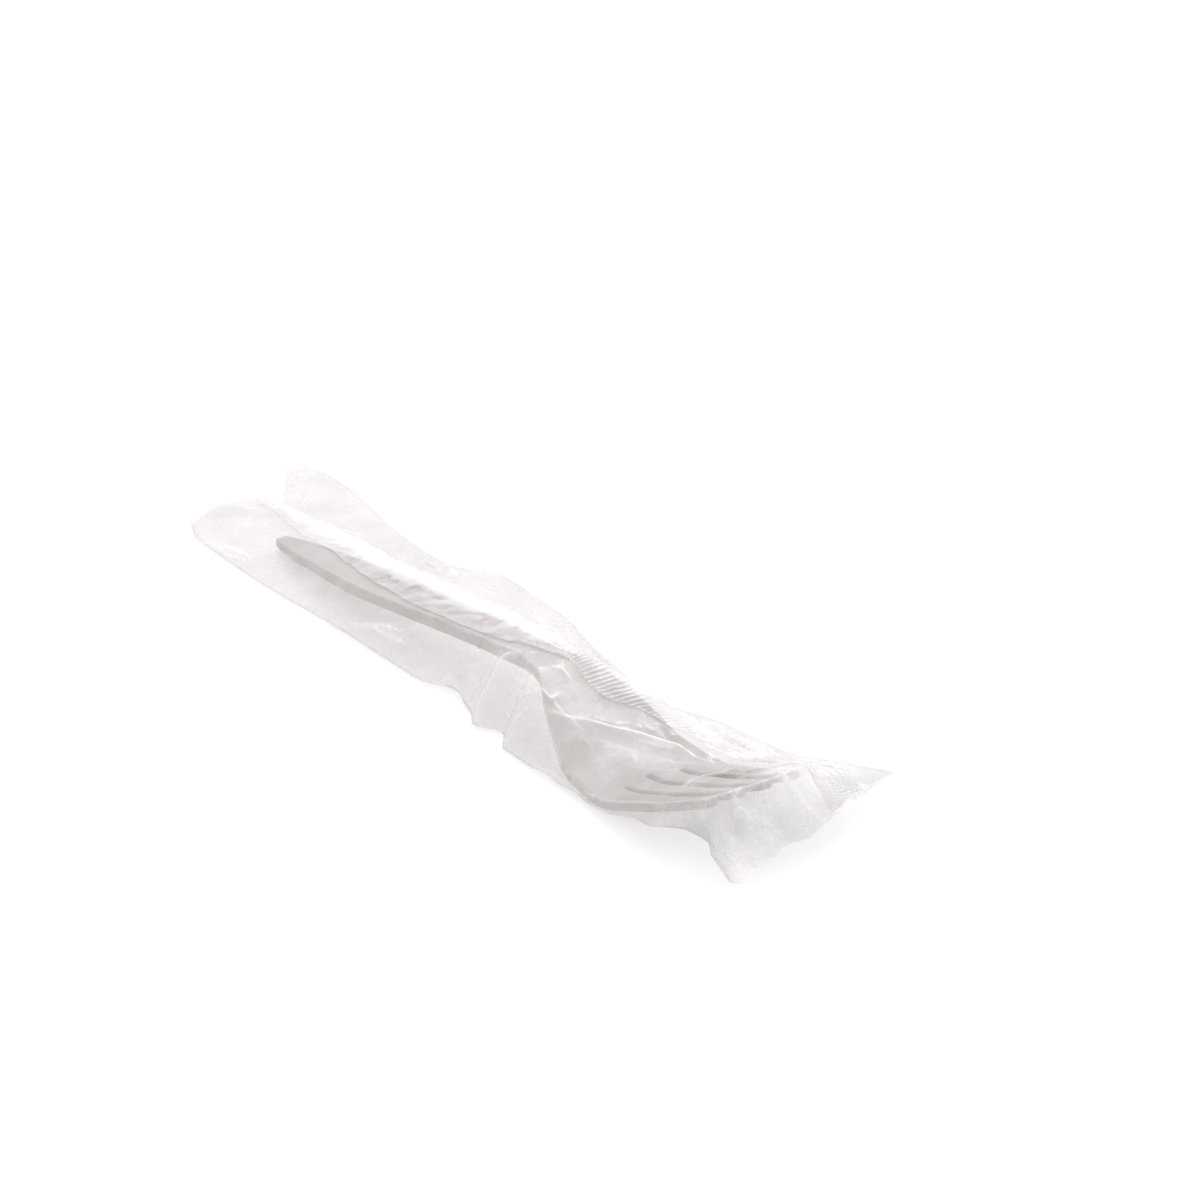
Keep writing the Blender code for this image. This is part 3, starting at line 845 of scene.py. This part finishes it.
def spread_to(tree, value, low, high, start=0.3, end=0.7):
    """Takes a value between start and end, where most noise lies, to one between low and high."""
    node = tree.nodes.new("ShaderNodeMapRange")
    for socket, limit in zip(("From Min", "From Max", "To Min", "To Max"), (start, end, low, high)):
        node.inputs[socket].default_value = limit
    tree.links.new(value, node.inputs["Value"])
    return node.outputs["Result"]


def blend(tree, factor, first, second):
    """The first colour where the factor is 0 and the second where it is 1."""
    node = tree.nodes.new("ShaderNodeMix")
    node.data_type = "RGBA"
    node.inputs["A"].default_value = first
    node.inputs["B"].default_value = second
    tree.links.new(factor, node.inputs["Factor"])
    return node.outputs["Result"]


def added(tree, first, second, limited=False):
    node = tree.nodes.new("ShaderNodeMath")
    node.use_clamp = limited
    tree.links.new(first, node.inputs[0])
    tree.links.new(second, node.inputs[1])
    return node.outputs["Value"]


def bump(tree, height, strength, distance):
    node = tree.nodes.new("ShaderNodeBump")
    node.inputs["Strength"].default_value = strength
    node.inputs["Distance"].default_value = distance
    tree.links.new(height, node.inputs["Height"])
    return node.outputs["Normal"]


def fork_material():
    """Off-white moulded plastic: faintly mottled, with flow streaks along it and a fine grain."""
    material, tree = node_material("off_white_plastic")
    shader = tree.nodes["Principled BSDF"]
    place = object_place(tree)
    along = tree.nodes.new("ShaderNodeMapping")
    along.inputs["Scale"].default_value = (0.12, 1, 1)
    tree.links.new(place, along.inputs["Vector"])
    mottle = noise(tree, place, scale=130, detail=4)
    streaks = tree.nodes.new("ShaderNodeMath")
    streaks.operation = "MULTIPLY_ADD"
    streaks.inputs[1].default_value = 0.4
    tree.links.new(noise(tree, along.outputs["Vector"], scale=520, detail=3), streaks.inputs[0])
    tree.links.new(spread_to(tree, mottle, 0, 0.6), streaks.inputs[2])
    colour = blend(tree, streaks.outputs["Value"], FORK_DARK, FORK_PALE)
    grain = noise(tree, place, scale=1300, detail=5)
    normal = bump(tree, grain, strength=0.4, distance=0.00008)
    tree.links.new(colour, shader.inputs["Base Color"])
    tree.links.new(spread_to(tree, mottle, *FORK_ROUGHNESS), shader.inputs["Roughness"])
    tree.links.new(normal, shader.inputs["Normal"])
    shader.inputs["IOR"].default_value = 1.5
    return material


def film_haze(tree, edge_milk):
    """How milky the film is: more where it is creased, clouded or seen edge on. The haze it reads also
    holds painted highlights along folds and creases.
    """
    weight = tree.nodes.new("ShaderNodeLayerWeight")
    weight.inputs["Blend"].default_value = 0.3
    share = spread_to(tree, weight.outputs["Facing"], CLEAR_MILK, edge_milk, start=0, end=1)
    mottle = noise(tree, object_place(tree), scale=170, detail=5)
    cloud = spread_to(tree, mottle, -0.04, 0.16, start=0.35, end=0.72)
    return added(tree, added(tree, share, cloud), attribute(tree, "haze"), limited=True)


def film_bump(tree):
    """The finest crinkles, too small to model."""
    crinkle = noise(tree, object_place(tree), scale=500, detail=4)
    return bump(tree, crinkle, strength=0.5, distance=0.00015)


def shaded(tree, plain, grey):
    """A colour that turns to a grey one where the film is greyer."""
    blotch = noise(tree, object_place(tree), scale=75, detail=3)
    amount = added(tree, attribute(tree, "shade"), spread_to(tree, blotch, -0.15, 0.22), limited=True)
    return blend(tree, amount, plain, grey)


def film_gloss(tree):
    """Share of the light that the film's face reflects: little face on, more at a low angle."""
    glance = tree.nodes.new("ShaderNodeLayerWeight")
    glance.inputs["Blend"].default_value = 0.5
    tree.links.new(film_bump(tree), glance.inputs["Normal"])
    steep = tree.nodes.new("ShaderNodeMath")
    steep.operation = "POWER"
    steep.inputs[1].default_value = 4
    tree.links.new(glance.outputs["Facing"], steep.inputs[0])
    return spread_to(tree, steep.outputs["Value"], GLOSS_FACING, GLOSS_GLANCING, start=0, end=1)


def film_material(name, edge_milk, tint):
    """Clear film: see-through with a faint tint, milky in places with painted highlights along
    creases, and glossy on top.
    """
    material, tree = node_material(name)
    nodes, links = tree.nodes, tree.links
    milk = nodes["Principled BSDF"]
    milk.inputs["Roughness"].default_value = 0.3
    clear = nodes.new("ShaderNodeBsdfTransparent")
    gloss = nodes.new("ShaderNodeBsdfGlossy")
    gloss.inputs["Roughness"].default_value = 0.15
    body = nodes.new("ShaderNodeMixShader")
    surface = nodes.new("ShaderNodeMixShader")
    normal = film_bump(tree)
    links.new(normal, milk.inputs["Normal"])
    links.new(normal, gloss.inputs["Normal"])
    links.new(shaded(tree, MILK_PALE, MILK_GREY), milk.inputs["Base Color"])
    links.new(shaded(tree, tint, GREY_TINT), clear.inputs["Color"])
    links.new(film_haze(tree, edge_milk), body.inputs["Fac"])
    links.new(clear.outputs[0], body.inputs[1])
    links.new(milk.outputs[0], body.inputs[2])
    links.new(film_gloss(tree), surface.inputs["Fac"])
    links.new(body.outputs[0], surface.inputs[1])
    links.new(gloss.outputs[0], surface.inputs[2])
    links.new(surface.outputs[0], nodes["Material Output"].inputs["Surface"])
    return material


# ---- stage ----

CAMERA_PLACE = Vector((0.5832, -0.3842, 0.3292))
CAMERA_LOOK = Vector((-0.7478, 0.5197, -0.4131))
CAMERA_LENS = 120.8
BRIGHT_SIDE = (-0.20, 0.42, 0.885)
WEAKEST_LIGHT, STRONGEST_LIGHT = 0.52, 1.28
KEY_PLACE, KEY_SIZE, KEY_POWER = (-0.35, 0.55, 0.9), 0.6, 2.2
GLINT_PLACE, GLINT_SIZE, GLINT_POWER = (-0.60, 0.62, 0.62), 0.22, 0.7
FLOOR_SIZE, FLOOR_ROUGHNESS, FLOOR_GLOW = 6, 0.9, 0.56
FLOOR_COLOUR = (0.45, 0.45, 0.45, 1)
FILM_LAYERS = 24  # the most layers of film that a line of sight passes


def make_camera():
    data = bpy.data.cameras.new("camera")
    data.lens = CAMERA_LENS
    data.sensor_width = 36
    data.clip_start = 0.01
    data.clip_end = 20
    camera = bpy.data.objects.new("camera", data)
    camera.location = CAMERA_PLACE
    camera.rotation_euler = CAMERA_LOOK.to_track_quat("-Z", "Y").to_euler()
    bpy.context.scene.collection.objects.link(camera)
    bpy.context.scene.camera = camera


def area_light(name, place, size, power):
    """A round lamp that faces the pack."""
    data = bpy.data.lights.new(name, "AREA")
    data.shape = "DISK"
    data.size = size
    data.energy = power
    lamp = bpy.data.objects.new(name, data)
    lamp.location = place
    lamp.rotation_euler = (-Vector(place)).to_track_quat("-Z", "Y").to_euler()
    bpy.context.scene.collection.objects.link(lamp)
    return lamp


def soft_surround(tree):
    """White light from all round, stronger from above and behind than from the camera's side."""
    nodes, links = tree.nodes, tree.links
    place = nodes.new("ShaderNodeTexCoord")
    toward = nodes.new("ShaderNodeVectorMath")
    toward.operation = "DOT_PRODUCT"
    toward.inputs[1].default_value = BRIGHT_SIDE
    strength = nodes.new("ShaderNodeMapRange")
    strength.inputs["From Min"].default_value = -1
    strength.inputs["To Min"].default_value = WEAKEST_LIGHT
    strength.inputs["To Max"].default_value = STRONGEST_LIGHT
    nodes["Background"].inputs["Color"].default_value = (1, 1, 1, 1)
    links.new(place.outputs["Generated"], toward.inputs[0])
    links.new(toward.outputs["Value"], strength.inputs["Value"])
    links.new(strength.outputs["Result"], nodes["Background"].inputs["Strength"])


def make_floor():
    """A pale floor that glows a little, so that shadows on it stay faint."""
    bpy.ops.mesh.primitive_plane_add(size=FLOOR_SIZE, location=(0, 0, 0))
    floor = bpy.context.object
    floor.name = "floor"
    material, tree = node_material("pale_floor")
    shader = tree.nodes["Principled BSDF"]
    shader.inputs["Base Color"].default_value = FLOOR_COLOUR
    shader.inputs["Roughness"].default_value = FLOOR_ROUGHNESS
    shader.inputs["Emission Color"].default_value = (1, 1, 1, 1)
    shader.inputs["Emission Strength"].default_value = FLOOR_GLOW
    floor.data.materials.append(material)


def make_stage():
    scene = bpy.context.scene
    scene.view_settings.view_transform = "Standard"
    world = bpy.data.worlds.new("studio")
    world.use_nodes = True
    scene.world = world
    soft_surround(world.node_tree)
    make_floor()
    area_light("key", KEY_PLACE, KEY_SIZE, KEY_POWER)
    glint = area_light("glint", GLINT_PLACE, GLINT_SIZE, GLINT_POWER)
    glint.visible_diffuse = False
    make_camera()


def main():
    fork = make_fork(fork_material())
    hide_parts("fork")
    film_look = film_material("clear_film", FILM_EDGE_MILK, FILM_TINT)
    seal_look = film_material("sealed_film", SEAL_EDGE_MILK, SEAL_TINT)
    tube, tube_height = make_tube(film_look)
    fin = make_fin(tube_height, seal_look)
    vent = make_vent(tube_height, seal_look)
    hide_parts("film_wrapper")
    for piece in (fork, tube, fin, vent):
        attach(piece, "root")
    make_stage()
    bpy.context.scene.cycles.transparent_max_bounces = FILM_LAYERS


main()
